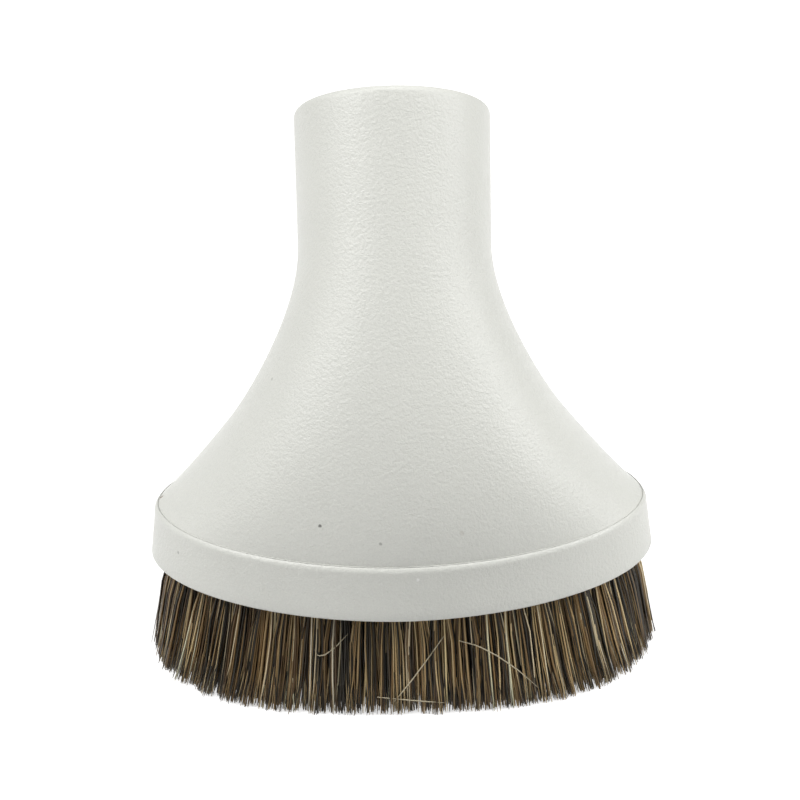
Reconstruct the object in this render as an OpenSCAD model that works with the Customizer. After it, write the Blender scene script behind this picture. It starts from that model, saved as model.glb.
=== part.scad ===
// Vacuum dusting brush. A moulded shell flares from a round socket, which leans back, down to an
// oval skirt. An oval ring snapped into the skirt holds a row of hair tufts, each folded over a
// small metal anchor. The brush stands on its hair tips, with its front towards -Y.

/* [Skirt] */
// Width of the skirt across its lower edge
skirt_w = 99.75; // [94:0.25:110]
// Depth of the skirt from front to back, at its lower edge
skirt_d = 70; // [65:0.25:78]
// Fullness of the skirt's oval: 2 is an ellipse, and less makes its ends more pointed
oval_power = 1.86; // [1.8:0.01:2.1]
// Height of the skirt from its lower edge to its ledge
skirt_h = 10.75; // [9.5:0.05:13]
// Draft of the skirt's outside, in degrees
skirt_draft = 6.25; // [2:0.25:7]
// Width of the round along the skirt's top edge
edge_w = 0.8; // [0.6:0.1:1.4]
// Height of the round along the skirt's top edge
edge_h = 1.85; // [1:0.05:2.4]
// Radius along the outside of the skirt's lower edge
lip_r = 0.5; // [0.2:0.1:0.8]
// Width of the flat ledge between the skirt's top edge and the flare
ledge_w = 0.15; // [0.1:0.05:0.5]
// Thickness of the wall of the skirt and the flare
wall = 2.4; // [2:0.1:2.6]

/* [Flare] */
// Slope of the flare where it leaves the two ends of the skirt, in degrees from upright
end_slope = 49.5; // [42:0.5:56]
// Slope of the flare where it leaves the front and the back, in degrees from upright
face_slope = 4; // [2:0.5:10]
// Pull of the flare's curve out of the two ends of the skirt
end_pull = 41; // [34:0.5:48]
// Pull of the flare's curve out of the front and the back of the skirt
face_pull = 57; // [48:0.5:62]
// Pull of the flare's curve into the sides of the neck
neck_side_pull = 49.5; // [42:0.5:56]
// Pull of the flare's curve into the front of the neck
neck_front_pull = 72; // [60:0.5:80]
// Pull of the flare's curve into the back of the neck
neck_back_pull = 43.5; // [36:0.5:48]
// Sharpness of the turn from the flare's ends to its front and back
end_focus = 4.5; // [3:0.25:5]

/* [Neck] */
// Lean of the neck to the back, in degrees from upright
neck_tilt = 33; // [28:1:38]
// Height of the middle of the mouth above the skirt's ledge
mouth_rise = 72; // [68:0.25:80]
// Distance of the middle of the mouth behind the middle of the skirt
mouth_back = 26; // [22:0.25:30]
// Diameter of the socket that takes the end of a wand or hose
socket_d = 32; // [28:0.5:35]
// Depth of the socket from the mouth to its stop
socket_depth = 26; // [22:0.5:30]
// Thickness of the wall round the socket
neck_wall = 3.4; // [2.9:0.1:4]
// Amount by which the neck's outside is narrower at its foot than at the mouth
neck_taper = 0.4; // [0:0.05:0.5]
// Radius round the outside of the mouth
mouth_r = 1.5; // [0.6:0.1:1.7]
// Size of the chamfer that leads into the socket
lead_in = 0.8; // [0.3:0.1:1]
// Thickness of the stop at the bottom of the socket
stop_t = 2; // [1.4:0.1:3]
// Width of the stop, inwards from the wall of the socket
stop_w = 1.5; // [0.8:0.1:3]

/* [Brush ring] */
// Clearance between the ring and the inside of the skirt
ring_gap = 0.1; // [0.05:0.05:0.25]
// Width of the ring outside its holes
outer_land = 1.6; // [1.3:0.1:2.2]
// Width of the ring inside its holes
inner_land = 0.7; // [0.5:0.1:1.5]
// Thickness of the ring above its blind holes
hole_roof = 0.9; // [0.6:0.1:1.2]
// Number of lugs that snap into the skirt
lug_count = 6; // [4:2:8]
// Width of each lug
lug_w = 6; // [4:0.5:8]
// Thickness of each lug
lug_t = 1.2; // [0.9:0.1:1.6]
// Thickness of the blunt edge that each lug's ramp ends in
lug_edge = 0.4; // [0.2:0.1:0.7]
// Distance that the lugs stand out from the ring
lug_out = 0.6; // [0.3:0.05:0.9]
// Height of the lugs' lower faces above the ring's lower face
lug_rise = 3; // [1.5:0.25:4]

/* [Tufts] */
// Number of tufts round the ring
tuft_count = 48; // [36:1:50]
// Diameter of the hole for each tuft
hole_d = 3.8; // [3:0.1:4]
// Depth of the hole for each tuft
hole_depth = 6; // [5:0.25:6.5]
// Outward lean of the holes and tufts, in degrees from upright
tuft_lean = 10; // [5:0.5:12]
// Clearance between a tuft and its hole
root_gap = 0.05; // [0.02:0.01:0.15]
// Length of hair that shows below the skirt, measured straight down
hair_show = 19.75; // [15:0.25:26]
// Thickness of a tuft at its tips, from the inside of the row to the outside
tip_t = 5.5; // [4.6:0.1:6]
// Gap between neighbouring tufts at their tips
tip_gap = 0.3; // [0.2:0.05:0.6]
// Height by which the cut tips vary
tip_ragged = 0.8; // [0.3:0.1:1.5]
// Depth of the hollows between the locks of a tuft
lock_depth = 0.35; // [0.1:0.05:0.5]

/* [Anchors] */
// Thickness of the anchor's plate
anchor_t = 0.35; // [0.2:0.05:0.5]
// Height of the anchor's plate, along its hole
anchor_h = 1.4; // [1:0.1:1.8]
// Distance that each end of the anchor bites into the ring
anchor_bite = 0.3; // [0.1:0.05:0.35]
// Thickness of the hair folded over the anchor, at the closed end of the hole
fold_t = 0.8; // [0.5:0.1:1.2]

/* [Hidden] */
$fn = 64;
cut = 1; // overshoot of a cut past the face that it goes through
turn_steps = 72; // points round each section of the shell
flare_rows = 16; // rows of facets down the outside of the flare
lining_rows = 10; // rows of facets down the inside of the flare
round_rows = 4; // rows of facets round a rounded edge
slope_step = 0.02; // share of the flare's curve over which its slope is measured
turn_step = 1; // degrees round the flare over which its turn is measured

half_w = skirt_w / 2;
half_d = skirt_d / 2;
lip_z = hair_show;
ledge_z = lip_z + skirt_h;

edge_in = (skirt_h - edge_h) * tan(skirt_draft);
flare_in = edge_in + edge_w + ledge_w;

neck_r = socket_d / 2 + neck_wall;
neck_foot_r = neck_r - neck_taper;
neck_len = socket_depth + stop_t;
neck_axis = [0, sin(neck_tilt), cos(neck_tilt)];
neck_back_dir = [0, cos(neck_tilt), -sin(neck_tilt)];
mouth_mid = [0, mouth_back, ledge_z + mouth_rise];

// The ring seats on the shoulder where the flare's inside meets the skirt's inside
seat_z = ledge_z - wall * sin(end_slope);
hole_run = hole_depth * sin(tuft_lean);
ring_h = hole_depth * cos(tuft_lean) + hole_d / 2 * sin(tuft_lean) + hole_roof;
ring_z = seat_z - ring_h;
ring_in = wall + ring_gap;
hole_in = ring_in + outer_land + hole_d / 2;
ring_w = outer_land + hole_d + hole_run + inner_land;

root_r = hole_d / 2 - root_gap;
hair_run = ring_z * tan(tuft_lean);
lock_points = 16; // points round each section of a tuft
// Rows of a tuft below the ring: share of the way down, and share of the full spread
tuft_rows = [[0.14, 0.8], [0.55, 0.92]];
tip_corner = 0.6; // power that squares the sections of a tuft towards its tips
tip_seed = 11;
tip_lifts = rands(0, tip_ragged, tuft_count * lock_points, tip_seed);

// Middle of the whole brush from front to back, measured from the middle of the skirt
back_reach = mouth_back + (neck_r - mouth_r) * cos(neck_tilt) + mouth_r * (1 - sin(neck_tilt));
brush_mid_y = (back_reach - half_d) / 2;

plastic = [0.87, 0.87, 0.845];
ring_plastic = [0.8, 0.8, 0.78];
hair = [0.3, 0.26, 0.2];
dark_hair = [0.2, 0.175, 0.14];
metal = [0.75, 0.75, 0.77];

function tuft_name(i) = str("tuft_", i < 10 ? "0" : "", i);

// Faces of a skin of stacked rings, each ring run anticlockwise as seen from above
function skin_faces(rows, n) = [
    for (j = [0:rows - 2], i = [0:n - 1])
        let (upper = j * n, lower = upper + n, next = (i + 1) % n)
            each [[upper + i, upper + next, lower + i], [upper + next, lower + next, lower + i]]
];

function turn_angles() = [for (i = [0:turn_steps - 1]) i * 360 / turn_steps];

// A value with its own sign, raised to a power
function raised(v, power) = sign(v) * pow(abs(v), power);

// Point on the oval that lies `inset` inside the skirt's lower edge
function plan(inset, a) = [
    (half_w - inset) * raised(cos(a), 2 / oval_power),
    (half_d - inset) * raised(sin(a), 2 / oval_power)
];

// Level section of the skirt at height z, inset from its lower edge
function oval(inset, z) = [for (a = turn_angles()) let (p = plan(inset, a)) [p.x, p.y, z]];

function flat_oval(inset) = [for (a = turn_angles()) plan(inset, a)];

// Angle of the oval's outward normal, at the point that the angle a gives
function normal_angle(inset, a) =
    let (power = 2 - 2 / oval_power)
    atan2((half_w - inset) * raised(sin(a), power), (half_d - inset) * raised(cos(a), power));

// A value that is `ends` at the two ends of the oval and `faces` at its front and back
function round_oval(a, ends, faces, power = 2) = faces + (ends - faces) * pow(abs(cos(a)), power);

function neck_point(a, r, depth) =
    mouth_mid - depth * neck_axis + r * (cos(a) * [1, 0, 0] + sin(a) * neck_back_dir);

// Curve from p to q that leaves p along u and reaches q along v
function curve(t, p, u, q, v) =
    p * (2 * pow(t, 3) - 3 * pow(t, 2) + 1)
    + u * (pow(t, 3) - 2 * pow(t, 2) + t)
    + q * (3 * pow(t, 2) - 2 * pow(t, 3))
    + v * (pow(t, 3) - pow(t, 2));

// Point on the outside of the flare, from the ledge (t = 0) up to the neck (t = 1)
function flare_point(t, a) =
    let (
        foot = [plan(flare_in, a).x, plan(flare_in, a).y, ledge_z],
        slope = round_oval(a, end_slope, face_slope, end_focus),
        foot_pull = round_oval(a, end_pull, face_pull, end_focus),
        neck_face_pull = sin(a) > 0 ? neck_back_pull : neck_front_pull,
        neck_pull = round_oval(a, neck_side_pull, neck_face_pull),
        leave = [-sin(slope) * cos(a), -sin(slope) * sin(a), cos(slope)]
    )
    curve(t, foot, foot_pull * leave, neck_point(a, neck_foot_r, neck_len), neck_pull * neck_axis);

// Point on the inside of the flare, one wall's thickness in from the outside
function lining_point(t, a) =
    let (
        around = flare_point(t, a + turn_step) - flare_point(t, a - turn_step),
        upward = flare_point(min(1, t + slope_step), a) - flare_point(max(0, t - slope_step), a),
        out = cross(around, upward)
    )
    flare_point(t, a) - wall * out / norm(out);

// Sections of the shell's outside, from the mouth down to the lip
function outside_rings() = [
    for (i = [0:round_rows])
        let (turn = 90 * i / round_rows)
            [for (a = turn_angles())
                neck_point(a, neck_r - mouth_r * (1 - sin(turn)), mouth_r * (1 - cos(turn)))],
    for (j = [flare_rows:-1:0])
        [for (a = turn_angles()) flare_point(j / flare_rows, a)],
    for (i = [0:round_rows])
        let (turn = 90 * i / round_rows)
            oval(edge_in + edge_w * (1 - sin(turn)), ledge_z - edge_h * (1 - cos(turn))),
    for (i = [0:round_rows / 2])
        let (turn = 90 * i / (round_rows / 2))
            oval(lip_r * (1 - cos(turn)), lip_z + lip_r * (1 - sin(turn)))
];

// Sections of the shell's inside, from the lip up to the stop at the bottom of the socket
function inside_rings() = [
    oval(wall, lip_z),
    oval(wall, seat_z),
    [for (a = turn_angles()) let (p = lining_point(0, a)) [p.x, p.y, seat_z]],
    for (j = [1:lining_rows - 1])
        [for (a = turn_angles()) lining_point(j / lining_rows, a)],
    [for (a = turn_angles()) neck_point(a, neck_foot_r - wall, neck_len)]
];

module shell_skin() {
    rings = concat(outside_rings(), inside_rings());
    rows = len(rings);
    last = (rows - 1) * turn_steps;
    mouth_face = [for (i = [turn_steps - 1:-1:0]) i];
    stop_face = [for (i = [0:turn_steps - 1]) last + i];
    polyhedron(
        points = [for (ring = rings) each ring],
        faces = concat([mouth_face, stop_face], skin_faces(rows, turn_steps))
    );
}

// Frame of the socket: the mouth's plane is at 0 and the socket runs down -Z. It is turned by half
// a facet, so that the bores start between two points of the shell's sections.
module in_neck() {
    translate(mouth_mid) rotate([-neck_tilt, 0, 0]) rotate([0, 0, 180 / turn_steps]) children();
}

module socket_cut() {
    translate([0, 0, -socket_depth]) cylinder(d = socket_d, h = socket_depth + cut);
    translate([0, 0, -lead_in])
        cylinder(r1 = socket_d / 2, r2 = socket_d / 2 + lead_in + cut, h = lead_in + cut);
    translate([0, 0, -neck_len - cut]) cylinder(r = socket_d / 2 - stop_w, h = neck_len + cut);
}

// Frame of each lug: +X points out of the ring's side, and 0 is the lug's lower face
module at_lugs() {
    for (k = [0:lug_count - 1]) {
        a = (k + 0.5) * 360 / lug_count;
        translate([plan(ring_in, a).x, plan(ring_in, a).y, ring_z + lug_rise])
            rotate([0, 0, normal_angle(ring_in, a)]) children();
    }
}

module lug() {
    rotate([90, 0, 0])
        linear_extrude(lug_w, center = true)
            polygon([
                [-outer_land / 2, 0], [lug_out, 0], [lug_out, lug_edge],
                [0, lug_t], [-outer_land / 2, lug_t]
            ]);
}

module lug_pocket() {
    translate([-outer_land / 2, -lug_w / 2 - ring_gap, -ring_gap])
        cube([outer_land / 2 + lug_out + ring_gap, lug_w + 2 * ring_gap, lug_t + 2 * ring_gap]);
}

// Tufts stand at equal distances along the oval, which a table of lengths gives
oval_lengths = [
    for (a = 0, s = 0; a <= 360; s = s + norm(plan(hole_in, a + 1) - plan(hole_in, a)), a = a + 1) [s, a]
];
oval_length = oval_lengths[360][0];
hole_pitch = oval_length / tuft_count;

function tuft_angle(i) =
    let (at = (i + tuft_count - 0.5) % tuft_count)
    lookup(at * hole_pitch, oval_lengths);

// Place of a tuft's tips, by how far the lean carries them out from its hole
function tip_spot(i) =
    let (a = tuft_angle(i), turn = normal_angle(hole_in, a))
    plan(hole_in, a) + hair_run * [cos(turn), sin(turn)];

// Spread of the tips along the row, as a multiple of the holes' spacing
function tip_spread(i) =
    min(norm(tip_spot(i + 1) - tip_spot(i)), norm(tip_spot(i) - tip_spot(i - 1))) / hole_pitch;

// Frame of a tuft: 0 is its hole's mouth, +Z runs up the hole and +X points out of the row
module at_tuft(i) {
    a = tuft_angle(i);
    translate([plan(hole_in, a).x, plan(hole_in, a).y, ring_z])
        rotate([0, -tuft_lean, normal_angle(hole_in, a)]) children();
}

// Height in a tuft's frame of a point x out of its axis that lies `lift` above the floor
function tip_height(x, lift) = (lift - ring_z - x * sin(tuft_lean)) / cos(tuft_lean);

// Section of a tuft, with hollows between its locks: rx out of the row, ry along it
function lock_ring(rx, ry, power) = [
    for (j = [0:lock_points - 1])
        let (a = j * 360 / lock_points, hollow = (j % 2) * lock_depth * (1 - power) / (1 - tip_corner))
            [
                (rx - hollow) * raised(cos(a), power),
                (ry - hollow) * raised(sin(a), power)
            ]
];

function tuft_rings(i) =
    let (
        spread = tip_spread(i),
        tip_ry = (hole_pitch * spread - tip_gap) / 2,
        mouth_z = -hole_d * tan(tuft_lean),
        tip_z = tip_height(0, 0)
    )
    [
        for (z = [hole_depth, mouth_z]) [for (p = lock_ring(root_r, root_r, 1)) [p.x, p.y, z]],
        for (row = tuft_rows)
            let (
                row_ry = (hole_pitch * (1 + (spread - 1) * row[0]) - tip_gap) / 2,
                rx = root_r + (tip_t / 2 - root_r) * row[1],
                ry = root_r + (row_ry - root_r) * row[1],
                power = 1 - (1 - tip_corner) * row[1]
            )
                [for (p = lock_ring(rx, ry, power)) [p.x, p.y, mouth_z + (tip_z - mouth_z) * row[0]]],
        let (tips = lock_ring(tip_t / 2, tip_ry, tip_corner), lowest = (6 * i) % lock_points)
            [for (j = [0:lock_points - 1])
                let (lift = j == lowest ? 0 : tip_lifts[(i - 1) * lock_points + j])
                    [tips[j].x, tips[j].y, tip_height(tips[j].x, lift)]]
    ];

module hair_lock(i) {
    rings = tuft_rings(i);
    rows = len(rings);
    last = (rows - 1) * lock_points;
    fold_face = [for (j = [lock_points - 1:-1:0]) j];
    tip_faces = [for (j = [0:lock_points - 1]) [last + j, last + (j + 1) % lock_points, last + lock_points]];
    polyhedron(
        points = concat([for (ring = rings) each ring], [[0, 0, tip_height(0, tip_ragged / 2)]]),
        faces = concat([fold_face], skin_faces(rows, lock_points), tip_faces)
    );
}

module anchor() {
    length = hole_d + 2 * anchor_bite;
    translate([-length / 2, -anchor_t / 2, hole_depth - fold_t - anchor_h])
        cube([length, anchor_t, anchor_h]);
}

module tuft_hole() {
    translate([0, 0, -hole_d / 2]) cylinder(d = hole_d, h = hole_d / 2 + hole_depth);
}

module shell() {
    color(plastic) difference() {
        shell_skin();
        in_neck() socket_cut();
        at_lugs() lug_pocket();
    }
}

module brush_ring() {
    color(ring_plastic) difference() {
        union() {
            translate([0, 0, ring_z]) linear_extrude(ring_h) difference() {
                polygon(flat_oval(ring_in));
                polygon(flat_oval(ring_in + ring_w));
            }
            at_lugs() lug();
        }
        for (i = [1:tuft_count]) {
            at_tuft(i) tuft_hole();
            at_tuft(i) anchor();
        }
    }
}

module tuft_anchors() {
    color(metal) for (i = [1:tuft_count]) at_tuft(i) anchor();
}

module tuft(i) {
    color(i % 2 == 0 ? hair : dark_hair) at_tuft(i) difference() {
        hair_lock(i);
        anchor();
    }
}

// Sets the whole brush with its middle over the origin
module centred() {
    translate([0, -brush_mid_y, 0]) children();
}

centred() shell();
centred() brush_ring();
centred() tuft_anchors();
for (i = [1:tuft_count]) centred() tuft(i);
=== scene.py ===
import math
import random

import bmesh
import bpy
from mathutils import Matrix, Vector


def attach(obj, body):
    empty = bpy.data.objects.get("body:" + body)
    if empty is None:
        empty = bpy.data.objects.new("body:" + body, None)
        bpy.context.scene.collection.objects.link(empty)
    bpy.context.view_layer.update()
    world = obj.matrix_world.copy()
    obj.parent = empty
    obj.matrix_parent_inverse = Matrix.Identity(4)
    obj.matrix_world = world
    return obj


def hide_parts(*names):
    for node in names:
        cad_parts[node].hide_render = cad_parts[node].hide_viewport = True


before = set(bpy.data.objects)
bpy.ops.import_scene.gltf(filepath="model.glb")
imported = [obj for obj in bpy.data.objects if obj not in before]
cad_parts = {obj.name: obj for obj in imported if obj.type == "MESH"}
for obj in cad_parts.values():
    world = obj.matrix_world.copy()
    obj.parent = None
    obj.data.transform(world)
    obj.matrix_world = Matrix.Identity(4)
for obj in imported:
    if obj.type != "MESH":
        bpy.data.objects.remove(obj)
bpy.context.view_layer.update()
print("frame loaded", flush=True)

mm = 0.001
turn = math.radians
fullTurn = 2 * math.pi

# Sizes in millimetres and degrees, as in the part's source
skirt = {
    "halfWidth": 49.875, "halfDepth": 35, "power": 1.86, "lipZ": 19.75, "height": 10.75,
    "draft": 6.25, "edgeWidth": 0.8, "edgeHeight": 1.85, "lipRadius": 0.5, "ledge": 0.15,
    "wall": 2.4,
    # The top edge from the ledge outwards, in shares of its width and height
    "edgeProfile": [
        (1, 0), (0.75, 0.04), (0.47, 0.17), (0.21, 0.34), (0.08, 0.51), (0.03, 0.71), (0, 1)],
    # The groove inside the ledge is cut at the ends and fades out at the front and the back.
    # Its profile goes from the flare outwards, in shares of its width and depth
    "grooveWidth": 0.3, "grooveDepth": 0.12, "grooveFade": 4,
    "grooveProfile": [(0.3, 1), (1, 0.07)],
}
flare = {
    "endSlope": 49.5, "faceSlope": 4, "endPull": 41, "facePull": 57, "focus": 4.5,
    "sidePull": 49.5, "frontPull": 72, "backPull": 43.5, "footLift": 0.05,
    # Steps for measuring the surface's direction: degrees round it and a share of its height
    "turnStep": 1, "slopeStep": 0.02,
}
neck = {
    "tilt": 33, "rise": 72, "back": 26, "socket": 16, "depth": 26, "wall": 3.4, "taper": 0.4,
    "round": 1.5, "leadIn": 0.8, "stop": 2, "stopWidth": 1.5,
}
tufts = {
    "count": 48, "holeRadius": 1.9, "holeDepth": 6, "lean": 10, "ringGap": 0.1,
    "outerLand": 1.6, "roof": 0.9, "tipDepth": 5.5, "anchor": 0.35, "arcSteps": 720,
}

ledgeZ = skirt["lipZ"] + skirt["height"]
edgeIn = (skirt["height"] - skirt["edgeHeight"]) * math.tan(turn(skirt["draft"]))
flareIn = edgeIn + skirt["edgeWidth"] + skirt["ledge"]
neckRadius = neck["socket"] + neck["wall"]
footRadius = neckRadius - neck["taper"]
neckLength = neck["depth"] + neck["stop"]
neckAxis = Vector((0, math.sin(turn(neck["tilt"])), math.cos(turn(neck["tilt"]))))
neckBack = Vector((0, math.cos(turn(neck["tilt"])), -math.sin(turn(neck["tilt"]))))
mouth = Vector((0, neck["back"], ledgeZ + neck["rise"]))
seatZ = ledgeZ - skirt["wall"] * math.sin(turn(flare["endSlope"]))
lean = turn(tufts["lean"])
ringHeight = (tufts["holeDepth"] * math.cos(lean) + tufts["holeRadius"] * math.sin(lean)
              + tufts["roof"])
ringZ = seatZ - ringHeight
holeIn = skirt["wall"] + tufts["ringGap"] + tufts["outerLand"] + tufts["holeRadius"]
backReach = (neck["back"] + (neckRadius - neck["round"]) * math.cos(turn(neck["tilt"]))
             + neck["round"] * (1 - math.sin(turn(neck["tilt"]))))
middle = Vector((0, (backReach - skirt["halfDepth"]) / 2, 0))


# Camera: the view that fits the outline in the photograph
viewpoint = {
    "target": Vector((0, 0.001652, 0.0605)),
    "forward": Vector((-0.0075558, 0.9287934, -0.3705208)),
    "roll": turn(1.424),
    "distance": 0.7,
    "pixelsPerMetre": 5083.2,
    "targetPixel": (396.80, 346.55),
    "frame": 800,
    "sensor": 36,
    "clip": (0.01, 20),
}


def makeCamera():
    forward = viewpoint["forward"].normalized()
    sideways = Vector((forward.y, -forward.x, 0)).normalized()
    upright = sideways.cross(forward)
    right = sideways * math.cos(viewpoint["roll"]) - upright * math.sin(viewpoint["roll"])
    above = sideways * math.sin(viewpoint["roll"]) + upright * math.cos(viewpoint["roll"])
    focal = viewpoint["pixelsPerMetre"] * viewpoint["distance"]
    place = viewpoint["target"] - forward * viewpoint["distance"]
    offset = [viewpoint["frame"] / 2 - p for p in viewpoint["targetPixel"]]
    aim = (forward * focal + right * offset[0] - above * offset[1]).normalized()
    side = aim.cross(above).normalized()
    top = side.cross(aim)
    data = bpy.data.cameras.new("camera")
    data.sensor_width = viewpoint["sensor"]
    data.lens = focal * viewpoint["sensor"] / viewpoint["frame"]
    data.clip_start, data.clip_end = viewpoint["clip"]
    camera = bpy.data.objects.new("camera", data)
    axes = Matrix((side, top, -aim)).transposed()
    camera.matrix_world = Matrix.Translation(place) @ axes.to_4x4()
    bpy.context.collection.objects.link(camera)
    bpy.context.scene.camera = camera


makeCamera()


# Shader graphs: a signal is a node's output, and can be added, taken away and multiplied
class Signal:
    def __init__(self, graph, socket):
        self.graph = graph
        self.socket = socket

    def maths(self, operation, *values):
        made = self.graph.node("ShaderNodeMath", {"operation": operation}, dict(enumerate(values)))
        return Signal(self.graph, made.outputs[0])

    def __add__(self, other):
        return self.maths("ADD", self, other)

    def __sub__(self, other):
        return self.maths("SUBTRACT", self, other)

    def __rsub__(self, other):
        return self.maths("SUBTRACT", other, self)

    def __mul__(self, other):
        return self.maths("MULTIPLY", self, other)

    __radd__ = __add__

    def ramp(self, low, high):
        made = self.graph.node(
            "ShaderNodeMapRange", {"interpolation_type": "SMOOTHSTEP"},
            {"Value": self, "From Min": low, "From Max": high})
        return Signal(self.graph, made.outputs["Result"])


class Graph:
    def __init__(self, tree):
        self.tree = tree
        tree.nodes.clear()

    def node(self, kind, settings, inputs):
        made = self.tree.nodes.new(kind)
        for key, value in settings.items():
            setattr(made, key, value)
        for key, value in inputs.items():
            if isinstance(value, Signal):
                self.tree.links.new(value.socket, made.inputs[key])
            else:
                made.inputs[key].default_value = value
        return made

    def signal(self, kind, output, settings=(), inputs=()):
        return Signal(self, self.node(kind, dict(settings), dict(inputs)).outputs[output])

    def noise(self, where, scale, detail):
        return self.signal("ShaderNodeTexNoise", 0, {}, {
            "Vector": where, "Scale": scale, "Detail": detail})

    def blend(self, factor, first, second):
        made = self.node("ShaderNodeMix", {"data_type": "RGBA"}, {0: factor, 6: first, 7: second})
        return Signal(self, made.outputs[2])


def makeMaterial(name, build, **settings):
    material = bpy.data.materials.new(name)
    material.use_nodes = True
    graph = Graph(material.node_tree)
    shader = graph.node("ShaderNodeBsdfPrincipled", {}, settings)
    for key, value in build(graph).items():
        graph.tree.links.new(value.socket, shader.inputs[key])
    graph.node("ShaderNodeOutputMaterial", {}, {"Surface": Signal(graph, shader.outputs[0])})
    return material


# Each noise has its scale and its detail
plasticLook = {
    "light": (0.735, 0.74, 0.69, 1), "dull": (0.675, 0.68, 0.635, 1),
    "peel": (1500, 1.0), "grain": (3600, 3.0), "cloud": (30, 3.0),
    "cloudRange": (0.3, 0.7), "grainRange": (0.35, 0.65),
    "cloudColour": 0.45, "grainColour": 0.55, "peelHeight": 0.6, "grainHeight": 0.4,
    "grainDepth": 0.0002, "grainStrength": 0.9, "roughness": 0.34, "roughnessSpread": 0.06,
    # Dirt: place, radius, tone and strength of each speck, and how much of it is solid
    "specks": [
        ((-0.01517, -0.03302, 0.03795), 0.00045, (0.05, 0.05, 0.045, 1), 0.75),
        ((-0.00368, -0.03571, 0.03515), 0.0004, (0.2, 0.2, 0.18, 1), 0.55),
        ((-0.04355, -0.01792, 0.02597), 0.0004, (0.25, 0.25, 0.23, 1), 0.5),
        ((-0.02413, -0.01266, 0.06003), 0.0004, (0.35, 0.35, 0.32, 1), 0.5),
        ((-0.0475, -0.00202, 0.03085), 0.0006, (0.2, 0.13, 0.07, 1), 0.8),
        ((0.01179, -0.03425, 0.03641), 0.0006, (0.45, 0.42, 0.36, 1), 0.3),
        ((0.00324, -0.0373, 0.02819), 0.0004, (0.9, 0.9, 0.88, 1), 0.7),
    ],
    "speckCore": 0.5,
}
ringLook = {
    "light": (0.62, 0.62, 0.585, 1), "dull": (0.54, 0.54, 0.51, 1), "mottle": (60, 2.0),
    "roughness": 0.4, "roughnessSpread": 0.12,
}
wireLook = {
    "light": (0.6, 0.6, 0.62, 1), "dull": (0.45, 0.45, 0.47, 1), "mottle": (1800, 2.0),
    "roughness": 0.25, "roughnessSpread": 0.2,
}


def plasticNodes(graph):
    look = plasticLook
    where = graph.signal("ShaderNodeTexCoord", "Object")
    peel = graph.noise(where, *look["peel"])
    grain = graph.noise(where, *look["grain"])
    cloud = graph.noise(where, *look["cloud"]).ramp(*look["cloudRange"])
    speckle = grain.ramp(*look["grainRange"])
    mottle = cloud * look["cloudColour"] + speckle * look["grainColour"]
    colour = graph.blend(mottle, look["light"], look["dull"])
    for place, radius, tone, strength in look["specks"]:
        distance = graph.signal(
            "ShaderNodeVectorMath", "Value", {"operation": "DISTANCE"}, {0: where, 1: place})
        ragged = distance + (grain - 0.5) * radius
        outside = ragged.ramp(radius * look["speckCore"], radius)
        colour = graph.blend((1 - outside) * strength, colour, tone)
    height = peel * look["peelHeight"] + grain * look["grainHeight"]
    bump = graph.signal("ShaderNodeBump", "Normal", {}, {
        "Strength": look["grainStrength"], "Distance": look["grainDepth"], "Height": height})
    roughness = look["roughness"] + cloud * look["roughnessSpread"]
    return {"Base Color": colour, "Roughness": roughness, "Normal": bump}


def mottledNodes(look):
    def build(graph):
        where = graph.signal("ShaderNodeTexCoord", "Object")
        mottle = graph.noise(where, *look["mottle"])
        return {
            "Base Color": graph.blend(mottle, look["light"], look["dull"]),
            "Roughness": look["roughness"] + mottle * look["roughnessSpread"],
        }
    return build


def hairNodes(graph):
    return {"Base Color": graph.signal("ShaderNodeAttribute", "Color", {"attribute_name": "tone"})}


plastic = makeMaterial("shellPlastic", plasticNodes)
ringPlastic = makeMaterial("ringPlastic", mottledNodes(ringLook))
wire = makeMaterial("anchorWire", mottledNodes(wireLook), Metallic=1.0)
hair = makeMaterial("hair", hairNodes, Roughness=0.5)
print("materials made", flush=True)


def finishPiece(bm, name, material):
    mesh = bpy.data.meshes.new(name)
    for face in bm.faces:
        face.smooth = True
    bm.to_mesh(mesh)
    bm.free()
    mesh.materials.append(material)
    piece = bpy.data.objects.new(name, mesh)
    bpy.context.collection.objects.link(piece)
    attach(piece, "root")
    return piece


def extrudeRow(bm, row, edges):
    made = bmesh.ops.extrude_edge_only(bm, edges=edges)["geom"]
    fresh = {g for g in made if isinstance(g, bmesh.types.BMVert)}
    nextRow = [next(e.other_vert(v) for e in v.link_edges if e.other_vert(v) in fresh)
               for v in row]
    nextEdges = [g for g in made if isinstance(g, bmesh.types.BMEdge)
                 and g.verts[0] in fresh and g.verts[1] in fresh]
    return nextRow, nextEdges


# Shape of the skirt, the flare and the neck, at an angle a round the brush
def raised(value, power):
    return math.copysign(abs(value) ** power, value)


def plan(inset, a):
    power = 2 / skirt["power"]
    return Vector((
        (skirt["halfWidth"] - inset) * raised(math.cos(a), power),
        (skirt["halfDepth"] - inset) * raised(math.sin(a), power), 0))


def normalAngle(inset, a):
    power = 2 - 2 / skirt["power"]
    return math.atan2(
        (skirt["halfWidth"] - inset) * raised(math.sin(a), power),
        (skirt["halfDepth"] - inset) * raised(math.cos(a), power))


def level(inset, z):
    return lambda a: plan(inset, a) + Vector((0, 0, z))


def groove(share, drop):
    def section(a):
        fade = abs(math.cos(a)) ** skirt["grooveFade"]
        inset = flareIn - skirt["grooveWidth"] * share
        return plan(inset, a) + Vector((0, 0, ledgeZ - skirt["grooveDepth"] * drop * fade))
    return section


def neckPoint(a, radius, depth):
    outward = Vector((math.cos(a), 0, 0)) + neckBack * math.sin(a)
    return mouth - neckAxis * depth + outward * radius


def inNeck(radius, depth):
    return lambda a: neckPoint(a, radius, depth)


def roundOval(a, ends, faces, power=2):
    return faces + (ends - faces) * abs(math.cos(a)) ** power


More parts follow.
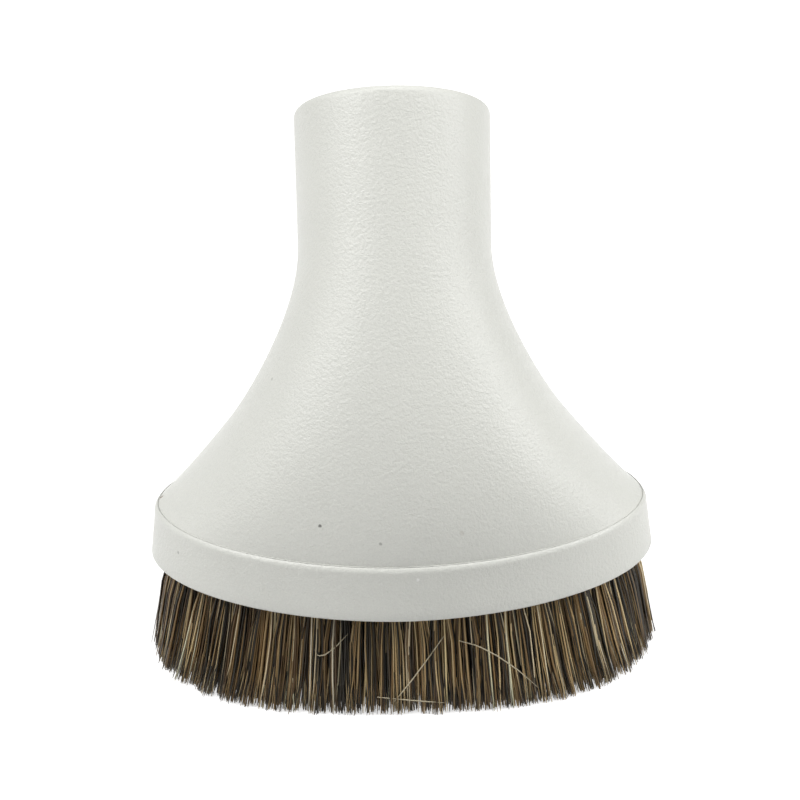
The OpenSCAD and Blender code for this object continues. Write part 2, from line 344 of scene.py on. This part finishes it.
def flarePoint(t, a):
    slope = turn(roundOval(a, flare["endSlope"], flare["faceSlope"], flare["focus"]))
    footPull = roundOval(a, flare["endPull"], flare["facePull"], flare["focus"])
    facePull = flare["backPull"] if math.sin(a) > 0 else flare["frontPull"]
    neckPull = roundOval(a, flare["sidePull"], facePull)
    leave = Vector((
        -math.sin(slope) * math.cos(a), -math.sin(slope) * math.sin(a), math.cos(slope)))
    foot = plan(flareIn, a) + Vector((0, 0, ledgeZ))
    return (foot * (2 * t ** 3 - 3 * t ** 2 + 1) + leave * footPull * (t ** 3 - 2 * t ** 2 + t)
            + neckPoint(a, footRadius, neckLength) * (3 * t ** 2 - 2 * t ** 3)
            + neckAxis * neckPull * (t ** 3 - t ** 2))


def liningPoint(t, a):
    step = turn(flare["turnStep"])
    below, above = max(0, t - flare["slopeStep"]), min(1, t + flare["slopeStep"])
    around = flarePoint(t, a + step) - flarePoint(t, a - step)
    upward = flarePoint(above, a) - flarePoint(below, a)
    return flarePoint(t, a) - around.cross(upward).normalized() * skirt["wall"]


# Points round the shell, and steps along each stretch of its section
shellSteps = {
    "around": 192, "mouthRound": 8, "neck": 8, "flare": 48, "skirt": 5, "lipRound": 4,
    "lining": 30,
}


# The closed section, from the stop ring up the socket, down the outside and up the lining.
# Each row says whether the shading has a crease there
def shellSections():
    low, lip = skirt["lipZ"], skirt["lipRadius"]
    edgeWidth, edgeHeight = skirt["edgeWidth"], skirt["edgeHeight"]
    sections = [
        (inNeck(neck["socket"] - neck["stopWidth"], neckLength), True),
        (inNeck(neck["socket"] - neck["stopWidth"], neck["depth"]), True),
        (inNeck(neck["socket"], neck["depth"]), True),
        (inNeck(neck["socket"], neck["leadIn"]), True),
        (inNeck(neck["socket"] + neck["leadIn"], 0), True),
    ]
    steps = shellSteps["mouthRound"]
    for i in range(steps + 1):
        part = turn(90 * i / steps)
        sections.append((inNeck(neckRadius - neck["round"] * (1 - math.sin(part)),
                                neck["round"] * (1 - math.cos(part))), False))
    steps = shellSteps["neck"]
    for i in range(1, steps):
        sections.append((inNeck(neckRadius - neck["taper"] * i / steps,
                                neck["round"] + (neckLength - neck["round"]) * i / steps), False))
    steps = shellSteps["flare"]
    for i in range(steps, 0, -1):
        sections.append((lambda a, t=i / steps: flarePoint(t, a), False))
    sections.append((lambda a: flarePoint(0, a) + Vector((0, 0, flare["footLift"])), True))
    for share, drop in skirt["grooveProfile"]:
        sections.append((groove(share, drop), False))
    for across, down in skirt["edgeProfile"]:
        sections.append((level(edgeIn + edgeWidth * across, ledgeZ - edgeHeight * down), False))
    steps = shellSteps["skirt"]
    for i in range(1, steps):
        share = i / steps
        run = skirt["height"] - edgeHeight - lip
        sections.append((level(edgeIn * (1 - share), ledgeZ - edgeHeight - run * share), False))
    steps = shellSteps["lipRound"]
    for i in range(steps + 1):
        part = turn(90 * i / steps)
        sections.append((level(lip * (1 - math.cos(part)), low + lip * (1 - math.sin(part))),
                         i == steps))
    sections.append((level(skirt["wall"], low), True))
    sections.append((level(skirt["wall"], seatZ), True))
    sections.append((lambda a: Vector((*liningPoint(0, a).xy, seatZ)), True))
    steps = shellSteps["lining"]
    for i in range(1, steps):
        sections.append((lambda a, t=i / steps: liningPoint(t, a), False))
    sections.append((inNeck(footRadius - skirt["wall"], neckLength), True))
    return sections


def makeShell():
    segments = shellSteps["around"]
    angles = [fullTurn * i / segments for i in range(segments)]
    bm = bmesh.new()
    row = bmesh.ops.create_circle(bm, segments=segments, radius=1)["verts"]
    firstEdges = list(bm.edges)
    edges = firstEdges
    for count, (section, sharp) in enumerate(shellSections()):
        if count:
            row, edges = extrudeRow(bm, row, edges)
        for vertex, a in zip(row, angles):
            vertex.co = (section(a) - middle) * mm
        for e in edges:
            e.smooth = not sharp
    bmesh.ops.bridge_loops(bm, edges=firstEdges + edges)
    bmesh.ops.recalc_face_normals(bm, faces=bm.faces)
    return finishPiece(bm, "shellMoulding", plastic)


shellPiece = makeShell()
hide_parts("shell")
print("shell made", flush=True)


# Hair: each tuft is a bundle of thin tapering strands, folded over its anchor
strands = {
    "seed": 7000, "perTuft": 200, "sides": 3, "stripFill": 0.9,
    # The strand's rows, from the fold down to the tip, and its thickness at each of them
    "rows": [0, 0.22, 0.3, 0.5, 0.75, 1], "taper": [0.7, 0.85, 1, 1, 0.95, 0.3],
    "radius": 0.2, "thickness": (0.65, 1.4),
    # In the hole: the gap to its wall and its bottom, and the bundle's core
    "wallGap": 0.3, "foldGap": 0.4, "core": 0.02,
    # The bundle's end: how square it is, how far it reaches over the next one, how much
    # further it splays at the oval's corners, and how far down it has spread
    "square": 0.6, "overlap": 1.12, "cornerSplay": 3.4, "spreadBy": 0.45,
    # Locks that the strands gather in
    "locks": 13, "lockSpread": 1.1, "gather": 0.48, "gatherRange": (0.5, 1),
    # Across and along the row: how far the tips scatter and the strands bow
    "scatter": (0.36, 0.5), "bow": (0.18, 0.26),
    # Tips above the floor: each lock, each strand, and the few that are cut short
    "tipGap": 0.2, "lockLift": 0.35, "strandLift": 0.15, "shortShare": 0.1, "shortLift": 1.5,
    # Tones with the share of each, and how they vary from strand to strand
    "tones": [
        ((0.014, 0.011, 0.005), 23), ((0.03, 0.02, 0.009), 15), ((0.08, 0.046, 0.017), 14),
        ((0.18, 0.11, 0.042), 14), ((0.32, 0.22, 0.1), 14), ((0.5, 0.38, 0.2), 11),
        ((0.66, 0.55, 0.36), 7), ((0.78, 0.71, 0.54), 2),
    ],
    "light": (0.84, 1.3), "tipLight": (0.85, 1.5), "lightest": 0.8,
}


def startStrands():
    bm = bmesh.new()
    bm.verts.layers.float_color.new("tone")
    bm.loops.layers.uv.new("strips")
    return bm


def makeStrandMesh():
    sides = strands["sides"]
    bm = startStrands()
    row = bmesh.ops.create_circle(bm, segments=sides, radius=1, cap_ends=True)["verts"]
    for face in bm.faces:
        face.normal_flip()
    edges = list(bm.edges)
    for height in strands["rows"][1:]:
        row, edges = extrudeRow(bm, row, edges)
        for vertex in row:
            vertex.co.z = height
    bmesh.ops.contextual_create(bm, geom=edges)
    bmesh.ops.recalc_face_normals(bm, faces=bm.faces)
    strips = bm.loops.layers.uv.active
    for face in bm.faces:
        centre = face.calc_center_median()
        facing = math.atan2(centre.y, centre.x)
        side = round((facing % fullTurn) / fullTurn * sides - 0.5) % sides
        for loop in face.loops:
            spin = math.atan2(loop.vert.co.y, loop.vert.co.x) % fullTurn
            across = 1 if (spin - facing) % fullTurn < math.pi else 0
            loop[strips].uv = ((side + across) / sides, loop.vert.co.z)
    mesh = bpy.data.meshes.new("strand")
    bm.to_mesh(mesh)
    bm.free()
    return mesh


# The strand's own strip of the UV map is number strip[0] of strip[1]
def addStrand(bm, template, path, radii, tone, tipTone, strip):
    start = len(bm.verts)
    startFace = len(bm.faces)
    bm.from_mesh(template)
    bm.verts.ensure_lookup_table()
    bm.faces.ensure_lookup_table()
    toneLayer = bm.verts.layers.float_color["tone"]
    strips = bm.loops.layers.uv["strips"]
    along = (path[-1] - path[0]).normalized()
    side = along.orthogonal().normalized()
    other = along.cross(side)
    rows = strands["rows"]
    for vertex in bm.verts[start:]:
        place = min(range(len(rows)), key=lambda i: abs(rows[i] - vertex.co.z))
        radius = radii[place]
        vertex[toneLayer] = (*[a + (b - a) * rows[place] for a, b in zip(tone, tipTone)], 1)
        vertex.co = (path[place] + (side * vertex.co.x + other * vertex.co.y) * radius) * mm
    for face in bm.faces[startFace:]:
        for loop in face.loops:
            uv = loop[strips].uv
            uv.x = (strip[0] + uv.x * strands["stripFill"]) / strip[1]


toneLadder = [tone for tone, share in strands["tones"] for _ in range(share)]


def pickTone(draw):
    tone = draw.choice(toneLadder)
    light = draw.uniform(*strands["light"])
    tone = tuple(c * light for c in tone)
    tip = draw.uniform(*strands["tipLight"])
    return tone, tuple(min(strands["lightest"], c * tip) for c in tone)


# The tufts stand at equal distances along the oval, so its length is measured in small steps
def arcTable():
    steps = tufts["arcSteps"]
    spots = [plan(holeIn, fullTurn * i / steps) for i in range(steps + 1)]
    lengths = [0]
    for first, second in zip(spots, spots[1:]):
        lengths.append(lengths[-1] + (second - first).length)
    return lengths


arcLengths = arcTable()
pitch = arcLengths[-1] / tufts["count"]
hairRun = ringZ * math.tan(lean)
hairReach = ringZ / math.cos(lean)


def tuftAngle(index):
    want = ((index - 0.5) % tufts["count"]) * pitch
    for i, (low, high) in enumerate(zip(arcLengths, arcLengths[1:])):
        if low <= want <= high:
            return fullTurn * (i + (want - low) / (high - low)) / (len(arcLengths) - 1)
    return 0


def splayAt(a):
    return strands["cornerSplay"] * math.sin(2 * a) ** 2


def tipSpot(index):
    a = tuftAngle(index)
    out = normalAngle(holeIn, a)
    return plan(holeIn, a) + Vector((math.cos(out), math.sin(out), 0)) * (hairRun + splayAt(a))


# A strand in its tuft's own axes: x outwards, y along the row, z up the hole
def strandPath(draw, bundle, locks):
    angle = draw.uniform(0, fullTurn)
    share = math.sqrt(draw.uniform(strands["core"], 1))
    c, s = math.cos(angle), math.sin(angle)
    rootRadius = tufts["holeRadius"] - strands["wallGap"]
    rootX, rootY = rootRadius * share * c, rootRadius * share * s
    besideAnchor = math.copysign(tufts["anchor"] / 2 + strands["radius"], rootY)
    rootY += besideAnchor * (1 - abs(rootY) / rootRadius)
    halfRow = bundle["ahead"] if s > 0 else bundle["back"]
    spreadX = bundle["halfDepth"] * share * raised(c, strands["square"])
    spreadY = halfRow * strands["overlap"] * share * raised(s, strands["square"])
    lock = min(locks, key=lambda q: (q[0] - spreadX) ** 2 + (q[1] - spreadY) ** 2)
    pull = strands["gather"] * draw.uniform(*strands["gatherRange"])
    scatterX, scatterY = strands["scatter"]
    endX = spreadX + ((lock[0] - spreadX) * pull + draw.gauss(0, scatterX) + bundle["splay"])
    endY = spreadY + ((lock[1] - spreadY) * pull + draw.gauss(0, scatterY))
    lift = lock[2] * strands["lockLift"] + abs(draw.gauss(0, strands["strandLift"]))
    if draw.random() < strands["shortShare"]:
        lift += strands["shortLift"] * draw.random()
    bowX, bowY = [draw.gauss(0, width) for width in strands["bow"]]
    top = tufts["holeDepth"] - strands["foldGap"]
    path = []
    for t in strands["rows"]:
        z = top + (-hairReach - top) * t
        below = max(0, -z / hairReach)
        early = 1 - (1 - min(1, below / strands["spreadBy"])) ** 2
        point = Vector((
            rootX + (spreadX - rootX) * early + (endX - spreadX) * below ** 2,
            rootY + (spreadY - rootY) * early + (endY - spreadY) * below ** 2, z))
        point.x += bowX * math.sin(math.pi * below)
        point.y += bowY * math.sin(math.pi * below)
        path.append(point)
    # The tip is trimmed level with the floor, less its own lift
    lift += strands["radius"] * strands["tipGap"]
    trimmed = (lift - ringZ - path[-1].x * math.sin(lean)) / math.cos(lean)
    for t, point in zip(strands["rows"], path):
        point.z += (trimmed + hairReach) * t
    return path


def makeTuft(index, template):
    draw = random.Random(strands["seed"] + index)
    a = tuftAngle(index)
    spot = plan(holeIn, a) + Vector((0, 0, ringZ)) - middle
    out = normalAngle(holeIn, a)
    place = (Matrix.Translation(spot) @ Matrix.Rotation(out, 4, "Z")
             @ Matrix.Rotation(-lean, 4, "Y"))
    before, here, after = tipSpot(index - 1), tipSpot(index), tipSpot(index + 1)
    back, ahead = (here - before).length / 2, (after - here).length / 2
    halfDepth = tufts["tipDepth"] / 2
    bundle = {"halfDepth": halfDepth, "back": back, "ahead": ahead, "splay": splayAt(a)}
    locks = []
    for _ in range(strands["locks"]):
        locks.append((draw.uniform(-1, 1) * halfDepth,
                      draw.uniform(-back, ahead) * strands["lockSpread"], draw.uniform(0, 1)))
    bm = startStrands()
    for k in range(strands["perTuft"]):
        path = [place @ p for p in strandPath(draw, bundle, locks)]
        tone, tipTone = pickTone(draw)
        thick = strands["radius"] * draw.uniform(*strands["thickness"])
        radii = [thick * w for w in strands["taper"]]
        addStrand(bm, template, path, radii, tone, tipTone, (k, strands["perTuft"]))
    piece = finishPiece(bm, f"tuftHair.{index:02d}", hair)
    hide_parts(f"tuft_{index:02d}")


# Loose hairs, each an arc through three points in millimetres
strayHairs = {
    "tone": (0.6, 0.53, 0.38), "radius": 0.15,
    "paths": [
        ((7.86, -35.8, 15.35), (1.81, -37.6, 7.34), (-2.8, -38.4, 1.9)),
        ((-5.15, -38, 3.78), (1.27, -38.3, 3.12), (7.76, -38.6, 2.54)),
        ((10.88, -35.8, 14.4), (18.17, -35.3, 10.74), (26.11, -34.8, 3.34)),
        ((-17.06, -34.9, 12.81), (-15.01, -35.1, 11.63), (-10.42, -35.2, 16.1)),
    ],
}


def makeStrayHairs(template):
    bm = startStrands()
    radii = [strayHairs["radius"] * w for w in strands["taper"]]
    for k, points in enumerate(strayHairs["paths"]):
        first, bend, last = (Vector(p) for p in points)
        pull = bend * 2 - (first + last) / 2
        path = [first * (1 - t) ** 2 + pull * 2 * t * (1 - t) + last * t ** 2
                for t in strands["rows"]]
        addStrand(bm, template, path, radii, strayHairs["tone"], strayHairs["tone"],
                  (k, len(strayHairs["paths"])))
    finishPiece(bm, "strayHairs", hair)


strandMesh = makeStrandMesh()
for number in range(1, tufts["count"] + 1):
    makeTuft(number, strandMesh)
makeStrayHairs(strandMesh)
bpy.data.meshes.remove(strandMesh)
print("hair made", flush=True)


# CAD pieces that stay in view
for nodeName, material in (("brush_ring", ringPlastic), ("tuft_anchors", wire)):
    node = bpy.data.objects.get(nodeName)
    node.data.materials.clear()
    node.data.materials.append(material)


# Studio: a pale floor, a soft world and five area lamps, each with its size, power and place
studio = {
    "floorSize": 2.5, "floorTone": (0.6, 0.6, 0.6, 1), "floorGlow": 0.7,
    "worldTone": (1, 1, 1, 1), "ambient": 0.25, "lampAim": (0, 0, 0.05),
    "lamps": [
        ("topLamp", 0.5, 3.8, (0.0, 0.05, 1.15)),
        ("leftLamp", 0.35, 0.7, (-0.8, -0.12, 0.4)),
        ("leftHighLamp", 0.35, 5.6, (-0.65, -0.2, 0.85)),
        ("rightLamp", 0.35, 2.6, (0.8, 0.0, 0.4)),
        ("rightHighLamp", 0.35, 2.9, (0.65, -0.2, 0.85)),
    ],
}


# Seen by the camera, the floor glows so that it is white, and it still darkens in the shadow
def makeFloorMaterial():
    material = bpy.data.materials.new("floorPaper")
    material.use_nodes = True
    graph = Graph(material.node_tree)
    paper = graph.signal("ShaderNodeBsdfDiffuse", 0, {}, {"Color": studio["floorTone"]})
    seen = graph.node("ShaderNodeLightPath", {}, {})
    rays = [Signal(graph, seen.outputs[name])
            for name in ("Is Camera Ray", "Is Glossy Ray", "Is Transmission Ray")]
    glow = graph.signal("ShaderNodeEmission", 0, {}, {
        "Strength": (rays[0] + rays[1] + rays[2]) * studio["floorGlow"]})
    both = graph.signal("ShaderNodeAddShader", 0, {}, {0: paper, 1: glow})
    graph.node("ShaderNodeOutputMaterial", {}, {"Surface": both})
    return material


def makeFloor():
    bm = bmesh.new()
    bmesh.ops.create_grid(bm, x_segments=1, y_segments=1, size=studio["floorSize"])
    mesh = bpy.data.meshes.new("floor")
    bm.to_mesh(mesh)
    bm.free()
    mesh.materials.append(makeFloorMaterial())
    floor = bpy.data.objects.new("floor", mesh)
    bpy.context.collection.objects.link(floor)


def makeWorld():
    world = bpy.data.worlds.new("studio")
    bpy.context.scene.world = world
    world.use_nodes = True
    graph = Graph(world.node_tree)
    seen = graph.signal("ShaderNodeLightPath", "Is Camera Ray")
    strength = seen * (1 - studio["ambient"]) + studio["ambient"]
    back = graph.signal("ShaderNodeBackground", 0, {}, {
        "Color": studio["worldTone"], "Strength": strength})
    graph.node("ShaderNodeOutputWorld", {}, {"Surface": back})


def makeLamps():
    for name, size, power, place in studio["lamps"]:
        data = bpy.data.lights.new(name, "AREA")
        data.size = size
        data.energy = power
        lamp = bpy.data.objects.new(name, data)
        lamp.location = place
        toward = Vector(studio["lampAim"]) - Vector(place)
        lamp.rotation_euler = toward.to_track_quat("-Z", "Y").to_euler()
        bpy.context.collection.objects.link(lamp)


makeFloor()
makeWorld()
makeLamps()
bpy.context.scene.view_settings.view_transform = "Standard"
print("studio made", flush=True)
